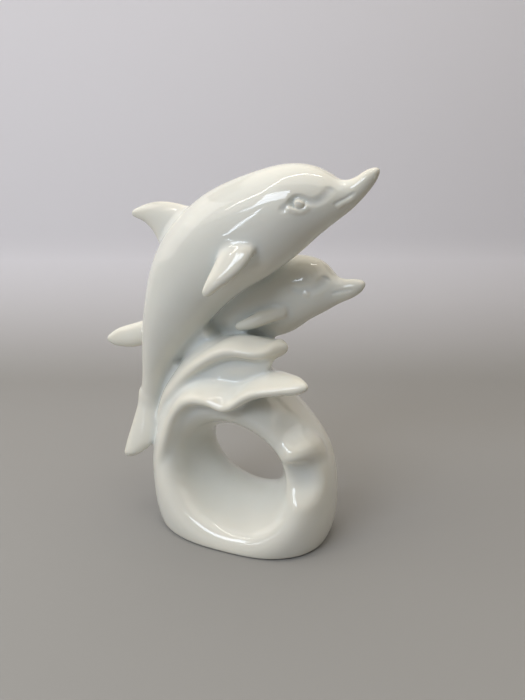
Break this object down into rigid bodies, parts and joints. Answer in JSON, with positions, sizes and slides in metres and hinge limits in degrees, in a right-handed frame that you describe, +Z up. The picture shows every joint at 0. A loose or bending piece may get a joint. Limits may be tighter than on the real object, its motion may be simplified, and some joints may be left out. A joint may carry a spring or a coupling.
{
  "type": "dolphin pair figurine",
  "caption": "Glazed porcelain figurine of a pair of dolphins leaping over a curling wave with an open window; stands on its own flat foot.",
  "frame": {"origin": "middle of the foot, on the surface that the figurine stands on", "axes": "+X the way the dolphins leap, -Y the front of the figurine, +Z up"},
  "size_m": [0.2526, 0.1154, 0.2958],
  "materials": {
    "white_glaze": "clear gloss glaze over a warm white porcelain body"
  },
  "bodies": {
    "root": {"dolphins_on_wave": "white_glaze"}
  },
  "joints": []
}
